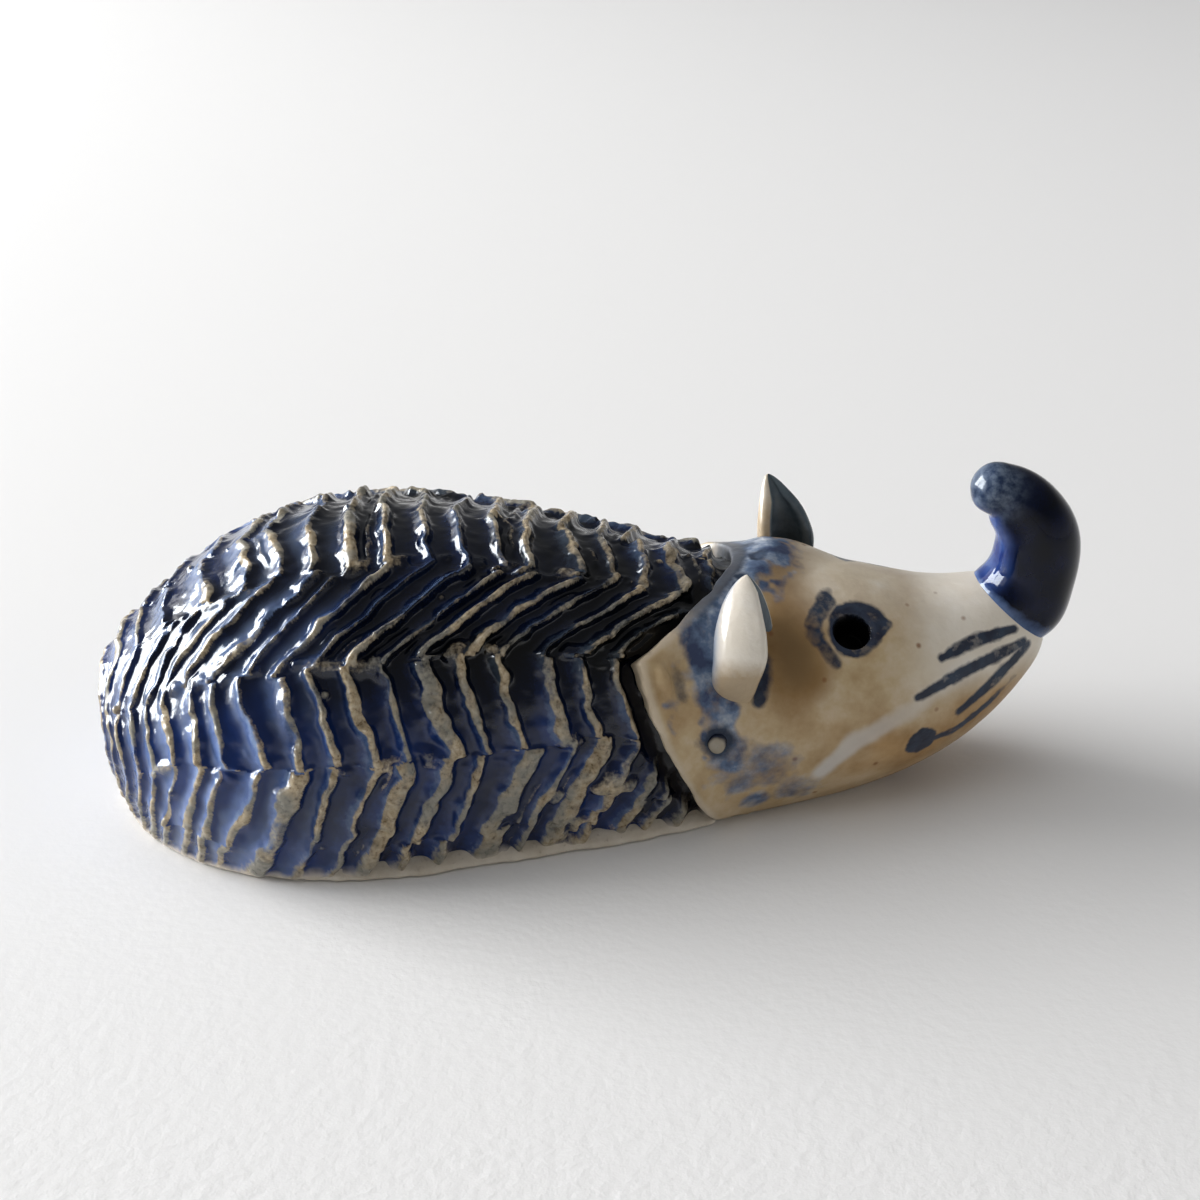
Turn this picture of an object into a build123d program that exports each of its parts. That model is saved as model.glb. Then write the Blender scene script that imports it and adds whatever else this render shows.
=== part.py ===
"""Stoneware hedgehog figurine, hand-built hollow from separately formed pieces of clay.

Millimetres. +X runs from the tail to the nose, +Y to the animal's left and +Z up.
The origin lies under the middle of the whole figure, on the face that it rests on.
"""
from build123d import *
import os
from math import acos, atan, cos, degrees, pi, radians, sin

# Whole pinched form that the coat and the head are parts of, measured from the tail end
form_length = 65.8
form_half_width = 15.8
form_height = 21.5
clay_wall = 3.4
base_thickness = 1.4
cut_overrun = 6.0

# Cross-sections from tail to snout. Each row holds the place along form_length, the height of the widest
# point in form_height, the slope there in form_height per form_length, the half width in form_half_width,
# and the rise above and the drop below the widest point in form_height. Where the drop passes the ground,
# the form is cut flat.
form_section_shares = (
    (0.004, 0.293, 0.0, 0.140, 0.129, 0.140),
    (0.014, 0.293, 0.0, 0.311, 0.230, 0.242),
    (0.038, 0.288, 0.0, 0.506, 0.319, 0.391),
    (0.091, 0.279, 0.0, 0.733, 0.469, 0.558),
    (0.167, 0.279, 0.0, 0.923, 0.614, 0.642),
    (0.258, 0.288, 0.0, 0.996, 0.703, 0.660),
    (0.365, 0.293, 0.0, 0.930, 0.711, 0.670),
    (0.471, 0.288, 0.0, 0.832, 0.665, 0.660),
    (0.578, 0.288, 0.0, 0.730, 0.585, 0.614),
    (0.669, 0.307, 0.0, 0.649, 0.493, 0.520),
    (0.760, 0.350, 0.160, 0.590, 0.405, 0.462),
    (0.828, 0.381, 0.540, 0.538, 0.355, 0.423),
    (0.889, 0.409, 1.114, 0.461, 0.313, 0.359),
    (0.939, 0.453, 1.912, 0.368, 0.268, 0.276),
    (0.977, 0.522, 2.854, 0.278, 0.213, 0.217),
)
tail_point_share = 0.293
hollow_rows = slice(3, 13)

# Carving of the coat: zigzag ridges left standing on a core between gouge cuts. A ridge folds at angles from
# the crest, and shifts there by shares of form_half_width, which fade out towards the tail end. The rows run
# from first_ridge_share of the pitch to last_ridge_share of form_length.
carve_depth = 0.85
carve_pitch = 2.5
ridge_width = 0.9
first_ridge_share = 0.41
last_ridge_share = 0.86
fold_angles = (0.0, 24.0, 51.0, 78.5, 118.0)
fold_shift_shares = (0.0, 0.057, -0.437, -0.316, -0.595)
fold_fade_length = 10.0
core_rows = slice(2, 13)
lap_gutter = 1.2

# Snout end, where the nose is set on
snout_height_share = 0.586
snout_slope_share = 3.65
nose_root_radius = 3.35

# Nose curl. Each row holds the place ahead of and above the snout end in nose_height, the turn past the
# snout's tilt in degrees and the radius in nose_root_radius.
nose_height = 9.1
nose_section_shares = (
    (0.000, 0.000, 0.0, 1.000),
    (0.130, 0.225, 24.0, 0.970),
    (0.165, 0.465, 44.0, 0.915),
    (0.128, 0.670, 65.0, 0.860),
    (0.015, 0.840, 86.0, 0.765),
    (-0.120, 0.955, 102.0, 0.650),
    (-0.195, 1.000, 112.0, 0.575),
)
nose_tip_angles = (25.0, 50.0, 72.0)

# Lap of the head over the coat: a "<" in side view, its point towards the tail, set on a skew
lap_point_along_share = 0.620
lap_point_height_share = 0.633
lap_upper_slope = 33.0
lap_lower_slope = 67.0
lap_skew = 16.0

# Eyes, pierced square to the skin
eye_diameter = 2.7
eye_right_along_share = 0.822
eye_left_along_share = 0.867
eye_angle = 48.0

# Ears: cupped leaves of pinched clay, with their cross-sections at shares of the half length
ear_length = 8.9
ear_half_width = 2.75
ear_wall = 1.2
ear_rim_proud = 0.5
ear_stand_off = 1.2
ear_lean = 16.0
ear_right_along_share = 0.702
ear_right_angle = 42.5
ear_right_toe_in = -6.0
ear_left_along_share = 0.771
ear_left_angle = 57.0
ear_left_toe_in = 50.0
ear_level_shares = (-0.98, -0.9, -0.7, -0.4, 0.0, 0.4, 0.7, 0.9, 0.98)

# Pellet pressed on behind the right cheek
pellet_radius = 0.9
pellet_along_share = 0.661
pellet_angle = 6.0


def tilt_of(slope_share):
    """Angle in degrees of a slope that is written in form_height per form_length."""
    return degrees(atan(slope_share * form_height / form_length))


def section_plane(along, height, tilt):
    """Plane across the form, with its local X to the animal's left and its local Y up."""
    lean = radians(tilt)
    return Plane(origin=(along, 0, height), x_dir=(0, 1, 0), z_dir=(cos(lean), 0, sin(lean)))


def section_sizes(row):
    """One row of the table in millimetres and degrees: along, height, tilt, half width, rise and drop."""
    along, height, slope, half_width, rise, drop = row
    return (
        along * form_length,
        height * form_height,
        tilt_of(slope),
        half_width * form_half_width,
        rise * form_height,
        drop * form_height,
    )


def oval_face(along, height, tilt, half_width, rise, drop):
    """Cross-section of four quarter ellipses: the upper two rise high, the lower two drop."""
    with BuildSketch(section_plane(along, height, tilt)) as sketch:
        with BuildLine():
            for quarter in range(4):
                reach = rise if quarter < 2 else drop
                EllipticalCenterArc((0, 0), half_width, reach, start_angle=90 * quarter, arc_size=90)
        make_face()
    return sketch.sketch.face()


def snout_height():
    """Height of the middle of the snout's cut end."""
    return snout_height_share * form_height


def snout_end_face():
    """Round cut end of the snout, the seat of the nose."""
    radius = nose_root_radius
    return oval_face(form_length, snout_height(), tilt_of(snout_slope_share), radius, radius, radius)


def above(height):
    """Block that holds everything over a level."""
    width = 2 * (form_half_width + cut_overrun)
    length = 2 * (form_length + nose_height + cut_overrun)
    depth = 2 * form_height + nose_height + cut_overrun
    base = (Align.CENTER, Align.CENTER, Align.MIN)
    return Pos(0, 0, height) * Box(length, width, depth, align=base)


def pinched_form():
    """Outside of coat and head in one, cut flat where it stands on the ground."""
    faces = [oval_face(*section_sizes(row)) for row in form_section_shares]
    tail_point = Vertex(0, 0, tail_point_share * form_height)
    return loft([tail_point, *faces, snout_end_face()]) & above(0)


def hollow():
    """Air space inside, one wall in from the skin and down to the top of the base slab."""
    faces = []
    for row in form_section_shares[hollow_rows]:
        along, height, tilt, half_width, rise, drop = section_sizes(row)
        faces.append(
            oval_face(along, height, tilt, half_width - clay_wall, rise - clay_wall, drop - clay_wall)
        )
    tail_point = Vertex(clay_wall, 0, tail_point_share * form_height)
    return loft([tail_point, *faces]) & above(base_thickness)


def head_side():
    """Block that holds everything ahead of the lap line."""
    reach = form_length + cut_overrun
    upper = radians(lap_upper_slope)
    lower = radians(lap_lower_slope)
    along = lap_point_along_share * form_length
    height = lap_point_height_share * form_height
    point = (along, height)
    top = (along + reach * cos(upper), height + reach * sin(upper))
    bottom = (along + reach * cos(lower), height - reach * sin(lower))
    far_along = along + 2 * reach
    with BuildSketch(Plane.XZ) as side:
        with BuildLine():
            Polyline(point, top, (far_along, top[1]), (far_along, bottom[1]), bottom, close=True)
        make_face()
    skew = radians(lap_skew)
    across = 2 * (form_half_width + cut_overrun)
    return extrude(side.sketch, amount=across, dir=(sin(skew), cos(skew), 0), both=True)


def section_between(along_share):
    """Sizes of the cross-section at any place along the form, read between the rows of the table."""
    rows = form_section_shares
    index = max(i for i, row in enumerate(rows[:-1]) if row[0] <= along_share)
    before, after = rows[index], rows[index + 1]
    part = (along_share - before[0]) / (after[0] - before[0])
    return section_sizes(tuple(a + (b - a) * part for a, b in zip(before, after)))


def core():
    """Body of the coat under the ridges, one gouge cut in from the skin."""
    faces = []
    for row in form_section_shares[core_rows]:
        along, height, tilt, half_width, rise, drop = section_sizes(row)
        faces.append(
            oval_face(along, height, tilt, half_width - carve_depth, rise - carve_depth, drop - carve_depth)
        )
    tail_point = Vertex(carve_depth, 0, tail_point_share * form_height)
    return loft([tail_point, *faces]) & above(0)


def ridge_line(crest_along):
    """Points of one ridge in side view, from over its crest down to below the ground."""
    points = []
    for angle, shift_share in zip(fold_angles, fold_shift_shares):
        shift = shift_share * form_half_width
        along = crest_along / (1 - shift / fold_fade_length)
        if along > fold_fade_length:
            along = crest_along + shift
        _, height, _, _, rise, _ = section_between(along / form_length)
        points.append((along, height + rise * cos(radians(angle))))
    crest, foot = points[0], points[-1]
    return [(crest[0], crest[1] + cut_overrun), *points[1:], (foot[0], -cut_overrun)]


def ridge_block(crest_along, is_tail_cap):
    """Upright zigzag wall across the figure. The first one reaches back over the tail end."""
    line = ridge_line(crest_along)
    front = [(along + ridge_width / 2, height) for along, height in line]
    back = [(along - ridge_width / 2, height) for along, height in reversed(line)]
    if is_tail_cap:
        back = [(-cut_overrun, height) for _, height in back]
    with BuildSketch(Plane.XZ) as side:
        with BuildLine():
            Polyline(*front, *back, close=True)
        make_face()
    return extrude(side.sketch, amount=form_half_width + cut_overrun, both=True)


def carved_coat(form, front):
    """Core with every ridge that stands behind the gutter along the lap."""
    gutter = Pos(-lap_gutter, 0, 0) * front
    ridges = []
    rows = int(last_ridge_share * form_length / carve_pitch)
    for row in range(rows):
        crest_along = (first_ridge_share + row) * carve_pitch
        ridges.extend(((form & ridge_block(crest_along, row == 0)) - gutter).solids())
    return core().fuse(*ridges)


def skin_place(along_share, angle, side):
    """Point on the skin and the way out of it, at an angle above the widest point, on one side."""
    along, height, tilt, half_width, rise, drop = section_between(along_share)
    plane = section_plane(along, height, tilt)
    turn = radians(angle)
    point = plane.from_local_coords((side * half_width * cos(turn), rise * sin(turn), 0))
    outward = plane.from_local_coords((side * cos(turn), sin(turn), 0)) - plane.origin
    return point, outward


def eye_holes():
    """Two drills, each through the wall from the hollow to the outside."""
    depth = 2 * (clay_wall + eye_diameter)
    drills = []
    for side, along_share in ((-1, eye_right_along_share), (1, eye_left_along_share)):
        point, outward = skin_place(along_share, eye_angle, side)
        drills.append(Plane(origin=point, z_dir=outward) * Cylinder(eye_diameter / 2, depth))
    return drills


def crescent(height, scale):
    """Cross-section of an ear: a C of clay, open towards +X."""
    outer = scale * ear_half_width
    inner = scale * (ear_half_width - ear_wall)
    gape = acos(ear_rim_proud / ear_half_width)
    outer_end = (outer * cos(gape), outer * sin(gape))
    inner_end = (inner * cos(gape), inner * sin(gape))
    with BuildSketch(Plane.XY.offset(height)) as sketch:
        with BuildLine():
            for turn in (1, -1):
                ThreePointArc((outer_end[0], turn * outer_end[1]), bisector(outer, gape, turn), (-outer, 0))
                ThreePointArc((inner_end[0], turn * inner_end[1]), bisector(inner, gape, turn), (-inner, 0))
                Line((inner_end[0], turn * inner_end[1]), (outer_end[0], turn * outer_end[1]))
        make_face()
    return sketch.sketch.face()


def bisector(radius, gape, turn):
    """Middle point of the arc from the rim of an ear to its back."""
    middle = (gape + pi) / 2
    return (radius * cos(middle), turn * radius * sin(middle))


def ear(form, side, along_share, angle, toe_in):
    """Cupped leaf, open towards the front and the middle, bedded on the skin of the head."""
    faces = []
    for level in ear_level_shares:
        faces.append(crescent(level * ear_length / 2, (1 - level**2) ** 0.5))
    cup = loft(faces)
    point, outward = skin_place(along_share, angle, side)
    turned = Rot(side * ear_lean, 0, 0) * Rot(0, 0, -side * toe_in) * cup
    placed = Pos(*(point + outward * ear_stand_off)) * turned
    return largest(placed - form)


def nose():
    """Tapered hook of round sections, closed by a round tip."""
    faces = []
    for ahead, up, turn, radius in nose_section_shares:
        faces.append(nose_ring(ahead * nose_height, up * nose_height, turn, radius * nose_root_radius))
    ahead, up, turn, radius = nose_section_shares[-1]
    end = section_plane(ahead * nose_height, up * nose_height, tilt_of(snout_slope_share) + turn)
    tip_radius = radius * nose_root_radius
    for angle in nose_tip_angles:
        ring = radians(angle)
        place = end.offset(tip_radius * sin(ring)).origin
        faces.append(nose_ring(place.X, place.Z, turn, tip_radius * cos(ring)))
    tip = end.offset(tip_radius).origin + Vector(form_length, 0, snout_height())
    return loft([*faces, Vertex(tip)])


def nose_ring(ahead, up, turn, radius):
    """Round section of the nose at a place measured from the snout's cut end."""
    tilt = tilt_of(snout_slope_share) + turn
    return oval_face(form_length + ahead, snout_height() + up, tilt, radius, radius, radius)


def pellet(form):
    """Small ball, half bedded in the skin."""
    point, outward = skin_place(pellet_along_share, pellet_angle, -1)
    return Plane(origin=point, z_dir=outward) * Sphere(pellet_radius) - form


def largest(shape):
    """The main solid of a cut piece."""
    return max(shape.solids(), key=lambda solid: solid.volume)


def pieces():
    """Every piece by its node name, in the form's own place."""
    form = pinched_form()
    air = hollow()
    front = head_side()
    return {
        "body_shell": (carved_coat(form, front) - air - front) & above(base_thickness),
        "base_slab": form - front - above(base_thickness),
        "head_shell": ((form - air) & front) - eye_holes(),
        "nose_curl": nose(),
        "ear_right": ear(form, -1, ear_right_along_share, ear_right_angle, ear_right_toe_in),
        "ear_left": ear(form, 1, ear_left_along_share, ear_left_angle, ear_left_toe_in),
        "cheek_pellet": pellet(form),
    }


made = pieces()
whole = Compound([solid for piece in made.values() for solid in piece.solids()]).bounding_box()
to_origin = Pos(-whole.center().X, -whole.center().Y, -whole.min.Z)
os.makedirs("parts", exist_ok=True)
for name, piece in made.items():
    export_step(to_origin * piece, f"parts/{name}.step")
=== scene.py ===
from math import cos, radians, sin, tan

import bmesh
import bpy
import numpy as np
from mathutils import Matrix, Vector
from mathutils.bvhtree import BVHTree


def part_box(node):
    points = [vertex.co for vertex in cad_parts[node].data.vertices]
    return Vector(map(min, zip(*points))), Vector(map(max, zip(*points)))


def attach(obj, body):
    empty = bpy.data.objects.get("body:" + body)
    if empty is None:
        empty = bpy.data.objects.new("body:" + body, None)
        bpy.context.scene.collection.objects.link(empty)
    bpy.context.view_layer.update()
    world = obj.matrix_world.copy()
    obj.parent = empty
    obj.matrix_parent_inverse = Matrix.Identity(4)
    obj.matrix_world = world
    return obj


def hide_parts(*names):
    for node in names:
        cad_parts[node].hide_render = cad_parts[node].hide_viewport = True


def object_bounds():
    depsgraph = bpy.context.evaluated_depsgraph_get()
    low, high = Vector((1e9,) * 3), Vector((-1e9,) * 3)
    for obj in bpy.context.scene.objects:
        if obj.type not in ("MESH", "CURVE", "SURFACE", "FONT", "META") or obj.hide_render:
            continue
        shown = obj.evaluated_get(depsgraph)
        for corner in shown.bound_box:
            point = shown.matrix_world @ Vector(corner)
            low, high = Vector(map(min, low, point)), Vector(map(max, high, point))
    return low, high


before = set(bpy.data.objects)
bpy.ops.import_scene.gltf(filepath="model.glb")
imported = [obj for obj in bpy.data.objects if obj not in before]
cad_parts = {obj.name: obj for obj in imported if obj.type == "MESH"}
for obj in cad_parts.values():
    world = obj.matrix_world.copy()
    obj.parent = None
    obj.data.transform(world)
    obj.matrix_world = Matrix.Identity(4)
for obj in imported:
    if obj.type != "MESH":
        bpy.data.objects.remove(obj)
cad_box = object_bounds()

# Base slab: a flat slab of the same clay that closes the hollow from below.
# It is left unglazed, and its edge squeezes out under the coat as a pale, ragged rim.
MM = 0.001
slab_low, slab_high = (np.array(corner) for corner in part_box("base_slab"))
tail_x = cad_box[0][0]
slab_top = slab_high[2]
rim_proud, rim_inset = 0.12 * MM, 0.9 * MM


def search_tree(names, hull_names=()):
    """Search tree over some CAD nodes as they are, and over the hull round some others."""
    points, faces = [], []
    for name in names:
        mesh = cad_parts[name].data
        start = len(points)
        points.extend(vertex.co.copy() for vertex in mesh.vertices)
        faces.extend([start + i for i in polygon.vertices] for polygon in mesh.polygons)
    if hull_names:
        hull = bmesh.new()
        for name in hull_names:
            hull.from_mesh(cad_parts[name].data)
        bmesh.ops.convex_hull(hull, input=hull.verts)
        hull.verts.index_update()
        start = len(points)
        points.extend(vertex.co.copy() for vertex in hull.verts)
        faces.extend([start + vertex.index for vertex in face.verts] for face in hull.faces)
        hull.free()
    return BVHTree.FromPolygons(points, faces)


skin_tree = search_tree(["head_shell"], ["body_shell", "base_slab"])
cast_from = 0.06


def skin_reach(middle, way):
    """Distance from a point inside the clay to the outer skin, looking along a way."""
    way = Vector(way).normalized()
    hit = skin_tree.ray_cast(Vector(middle) + way * cast_from, -way)
    return cast_from - hit[3] if hit[0] is not None else np.nan


def fill_gaps(values):
    """The same values with any missed ray taken from its neighbours along the last axis."""
    flat = values.reshape(-1, values.shape[-1])
    for line in flat:
        seen = ~np.isnan(line)
        if not seen.all():
            line[~seen] = np.interp(np.flatnonzero(~seen), np.flatnonzero(seen), line[seen])
    return values


def soften(values, steps, axis):
    """Plain repeated smoothing along one axis, with the ends held."""
    values = np.moveaxis(values.copy(), axis, 0)
    for _ in range(steps):
        values[1:-1] = 0.25 * values[:-2] + 0.5 * values[1:-1] + 0.25 * values[2:]
    return np.moveaxis(values, 0, axis)


def lattice_noise(points, seed, cell):
    """Smooth random field between -1 and 1 at 3-D points, with a given cell size."""
    grid = np.asarray(points, float) / cell
    low = np.floor(grid).astype(np.int64)
    part = grid - low
    part = part * part * (3 - 2 * part)
    total = np.zeros(grid.shape[:-1])
    for corner in np.ndindex(2, 2, 2):
        spot = low + corner
        code = spot[..., 0] * 73856093 ^ spot[..., 1] * 19349663 ^ spot[..., 2] * 83492791 ^ seed * 2654435761
        code = (code ^ (code >> 13)) * 1274126177
        value = ((code ^ (code >> 16)) & 0xFFFF) / 32767.5 - 1
        weight = np.prod(np.where(np.array(corner) == 1, part, 1 - part), axis=-1)
        total += weight * value
    return total


def rough_noise(points, seed, cell, octaves):
    """Several lattice noises of halving cells, in the range of about -1 to 1."""
    total = 0
    for octave in range(octaves):
        total = total + lattice_noise(points, seed + octave, cell / 2**octave) / 2**octave
    return total / 1.6


def ramp(values, start, end):
    """Smooth step from 0 at start to 1 at end."""
    part = np.clip((values - start) / (end - start), 0, 1)
    return part * part * (3 - 2 * part)


def grid_mesh(name, points, attributes, closed=False, flip=False):
    """Mesh of a grid of points, closed around its second axis if asked, with point attributes."""
    rows, columns = points.shape[:2]
    index = np.arange(rows * columns).reshape(rows, columns)
    after = np.roll(index, -1, axis=1)
    stop = columns if closed else columns - 1
    quads = np.stack([index[:-1, :stop], index[1:, :stop], after[1:, :stop], after[:-1, :stop]], -1)
    quads = quads.reshape(-1, 4)
    if flip:
        quads = quads[:, ::-1]
    mesh = bpy.data.meshes.new(name)
    mesh.from_pydata(points.reshape(-1, 3).tolist(), [], quads.tolist())
    for key, values in attributes.items():
        layer = mesh.attributes.new(key, "FLOAT", "POINT")
        layer.data.foreach_set("value", np.ascontiguousarray(values.reshape(-1), dtype=np.float32))
    mesh.shade_smooth()
    piece = bpy.data.objects.new(name, mesh)
    bpy.context.collection.objects.link(piece)
    return piece


def grid_normals(points, closed=False):
    """Unit normals of a grid of points, pointing out of the clay."""
    along = np.gradient(points, axis=0)
    if closed:
        around = (np.roll(points, -1, axis=1) - np.roll(points, 1, axis=1)) / 2
    else:
        around = np.gradient(points, axis=1)
    normal = np.cross(along, around)
    return normal / np.maximum(np.linalg.norm(normal, axis=-1, keepdims=True), 1e-12)


class Shader:
    """A new node material with a few short ways to wire it."""

    def __init__(self, name):
        self.material = bpy.data.materials.new(name)
        self.material.use_nodes = True
        self.nodes = self.material.node_tree.nodes
        self.links = self.material.node_tree.links
        self.surface = self.nodes["Principled BSDF"]

    def node(self, kind, **inputs):
        made = self.nodes.new(kind)
        for key, value in inputs.items():
            self.feed(made.inputs[key.replace("_", " ")], value)
        return made

    def feed(self, socket, value):
        if isinstance(value, bpy.types.NodeSocket):
            self.links.new(value, socket)
        else:
            socket.default_value = value

    def attribute(self, key):
        made = self.nodes.new("ShaderNodeAttribute")
        made.attribute_name = key
        return made.outputs["Fac"]

    def noise(self, scale, detail=4.0, roughness=0.6):
        place = self.nodes.new("ShaderNodeTexCoord").outputs["Object"]
        made = self.node("ShaderNodeTexNoise", Vector=place, Scale=scale, Detail=detail, Roughness=roughness)
        return made.outputs["Fac"]

    def curve(self, value, *stops):
        made = self.nodes.new("ShaderNodeValToRGB")
        self.links.new(value, made.inputs["Fac"])
        elements = made.color_ramp.elements
        while len(elements) < len(stops):
            elements.new(0.5)
        for element, (place, colour) in zip(elements, stops):
            element.position = place
            shade = colour if isinstance(colour, tuple) else (colour, colour, colour)
            element.color = (*shade, 1)
        return made.outputs["Color"]

    def mix(self, share, first, second, way="MIX"):
        made = self.nodes.new("ShaderNodeMix")
        made.data_type = "RGBA"
        made.blend_type = way
        self.feed(made.inputs[0], share)
        for socket, value in ((made.inputs[6], first), (made.inputs[7], second)):
            self.feed(socket, (*value, 1) if isinstance(value, tuple) else value)
        return made.outputs[2]

    def math(self, first, second, way="ADD"):
        made = self.nodes.new("ShaderNodeMath")
        made.operation = way
        self.feed(made.inputs[0], first)
        self.feed(made.inputs[1], second)
        return made.outputs[0]

    def times(self, first, second):
        return self.math(first, second, "MULTIPLY")

    def centred(self, value, share):
        return self.times(self.math(value, 0.5, "SUBTRACT"), share)

    def bump(self, height, strength, distance):
        made = self.nodes.new("ShaderNodeBump")
        made.inputs["Strength"].default_value = strength
        made.inputs["Distance"].default_value = distance
        self.links.new(height, made.inputs["Height"])
        return made.outputs["Normal"]

    def set(self, **inputs):
        for key, value in inputs.items():
            value = (*value, 1) if isinstance(value, tuple) and len(value) == 3 else value
            self.feed(self.surface.inputs[key.replace("_", " ")], value)
        return self.material


slab_steps = 420
slab_turns = np.linspace(0, 2 * np.pi, slab_steps, endpoint=False)
slab_middle = np.array([slab_low[0] + 0.4 * (slab_high[0] - slab_low[0]), 0, slab_top / 2])
slab_tree = search_tree(["base_slab"])
slab_reach = []
for turn in slab_turns:
    way = Vector((cos(turn), sin(turn), 0))
    hit = slab_tree.ray_cast(Vector(slab_middle) + way * cast_from, -way)
    slab_reach.append(cast_from - hit[3])
slab_reach = np.array(slab_reach)
slab_ways = np.stack([np.cos(slab_turns), np.sin(slab_turns), 0 * slab_turns], -1)
slab_edge = slab_middle[0] + slab_reach * np.cos(slab_turns)
slab_front = ramp(slab_edge, slab_high[0] - 8 * MM, slab_high[0] - 5 * MM)
slab_proud = (rim_proud + rim_inset) * ramp(slab_edge, tail_x + 9 * MM, tail_x + 24 * MM) - rim_inset
slab_proud *= 1 - slab_front
rim_levels = (
    (0.0, 0.55, 0), (0.0, 0.93, 1.0), (0.03, 0.985, 1.0), (0.14, 1.0, 1.0), (0.28, 1.0, 1.0),
    (0.42, 0.985, 1.0), (0.75, 0.95, 0.3), (1.0, 0.9, 0))
slab_rings = []
for level, share, proud in rim_levels:
    ring = slab_middle + slab_ways * (slab_reach * share + slab_proud * proud)[:, None]
    ring[:, 2] = level * slab_top
    ragged = rough_noise(ring, 11, 1.6 * MM, 3)
    ring += slab_ways * (ragged * 0.35 * MM * proud * (1 - slab_front))[:, None]
    slab_rings.append(ring)
slab_points = np.stack(slab_rings)
slab_points = np.concatenate([
    np.broadcast_to([slab_middle[0], 0, 0], (1, slab_steps, 3)), slab_points,
    np.broadcast_to([slab_middle[0], 0, slab_top], (1, slab_steps, 3))])
base_slab = grid_mesh("base_slab_clay", slab_points, {}, closed=True)

bare_clay = Shader("bare_clay")
clay_speck = bare_clay.noise(2600, 3)
clay_tone = bare_clay.noise(420)
clay_colour = bare_clay.curve(clay_tone, (0.3, (0.50, 0.44, 0.35)), (0.7, (0.66, 0.61, 0.53)))
clay_dots = bare_clay.curve(clay_speck, (0.62, 0.0), (0.72, 0.5))
clay_colour = bare_clay.mix(clay_dots, clay_colour, (0.28, 0.22, 0.16))
base_slab.data.materials.append(bare_clay.set(
    Base_Color=clay_colour, Roughness=0.82, Normal=bare_clay.bump(clay_speck, 0.5, 0.15 * MM)))
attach(base_slab, "root")
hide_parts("base_slab")

# Coat: the hollow pinched body, cut all over with a gouge into rows of zigzag spines.
# Cobalt glaze runs off the ridges, which stay tan and gritty, and pools blue-black in the grooves. Light and
# shade are also painted in: each groove is painted darkest beside the steep side of the ridge behind and
# palest on the gentle side facing the window, the lip groove is painted near-black, and the tail flanks carry
# a painted pale sheen.
coat_axis_height = 6.25 * MM
coat_reach_ahead = 53.0 * MM
coat_under_lap = 1.6 * MM
coat_rows, coat_columns = 480, 600
crest_to_foot = radians(150)
pitch = 2.5 * MM
groove_depth = 0.9 * MM
ridge_half = 0.13 * MM
fold_degrees = (0.0, 24.0, 51.0, 78.5, 118.0, 150.0)
fold_shifts = (0.0, 0.9, -6.9, -5.0, -9.4, -10.2)
row_start = 0.59
zigzag_fade = 10 * MM
round_end = 5 * MM
lap_point = np.array([tail_x + 40.8 * MM, 13.6 * MM])
lap_upper, lap_lower, lap_skew = radians(33), radians(67), radians(16)
nape_low, nape_high = 14.5 * MM, 16.5 * MM


def lap_place(points):
    """How far points lie ahead of the line along which the head laps over the coat."""
    back = points[..., 0] - points[..., 1] * tan(lap_skew) - lap_point[0]
    rise = points[..., 2] - lap_point[1]
    line = np.where(rise > 0, rise / tan(lap_upper), -rise / tan(lap_lower))
    return back - line


def skin_rings(middles, ups, turns):
    """Skin points on rings about the middles: each ring lies across the figure, with turns from its crest."""
    reach = np.full((len(middles), turns.shape[-1]), np.nan)
    ways = np.zeros((len(middles), turns.shape[-1], 3))
    turns = np.broadcast_to(turns, reach.shape)
    side = np.array([0.0, 1.0, 0.0])
    for row, (middle, up) in enumerate(zip(middles, ups)):
        wide = skin_reach(middle, side)
        high = skin_reach(middle, up)
        ways[row] = wide * np.sin(turns[row])[:, None] * side + high * np.cos(turns[row])[:, None] * up
        ways[row] /= np.linalg.norm(ways[row], axis=-1, keepdims=True)
        for column, way in enumerate(ways[row]):
            reach[row, column] = skin_reach(middle, way)
    return ways, reach


def regrid(grid, measure, ends, steps):
    """Grid whose columns run, in even steps, from the first to the last of two values of a measure."""
    shares = np.linspace(0, 1, steps)
    made = np.zeros((steps, grid.shape[1], grid.shape[2]))
    for column in range(grid.shape[1]):
        start, stop = ends[0][column], ends[1][column]
        place = start + (stop - start) * shares
        for axis in range(grid.shape[2]):
            made[:, column, axis] = np.interp(place, measure[:, column], grid[:, column, axis])
    return made


ring_x = coat_reach_ahead * np.linspace(0, 1, 300) ** 1.35
ring_x[0] = 0.02 * MM
from_crest = np.linspace(-crest_to_foot, crest_to_foot, coat_columns)
ring_middles = np.stack([tail_x + ring_x, 0 * ring_x, 0 * ring_x + coat_axis_height], -1)
ring_turns = from_crest * (1 + 0.2 * (1 - ramp(ring_x, 2 * MM, 8 * MM)))[:, None]
ring_ways, ring_reach = skin_rings(ring_middles, [np.array([0.0, 0.0, 1.0])] * len(ring_x), ring_turns)
ring_reach = soften(soften(fill_gaps(ring_reach), 16, 1), 5, 0)
ring_skin = ring_middles[:, None] + ring_ways * ring_reach[..., None]
ring_lap = lap_place(ring_skin)
lap_x = np.array([np.interp(coat_under_lap, ring_lap[:, c], ring_x) for c in range(coat_columns)])
coat_measure = np.broadcast_to((ring_x[:, None] / coat_reach_ahead) ** 0.8, ring_lap.shape)
coat_skin = regrid(ring_skin, coat_measure, (0 * lap_x, (lap_x / coat_reach_ahead) ** 0.8), coat_rows)
coat_out = grid_normals(coat_skin)
coat_out *= np.sign((coat_out * (coat_skin - [0, 0, coat_axis_height]) * [0, 1, 1]).sum(-1, keepdims=True))
coat_x = coat_skin[..., 0] - tail_x
off_tail = ramp(coat_x, 1.5 * MM, 6 * MM)

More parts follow.
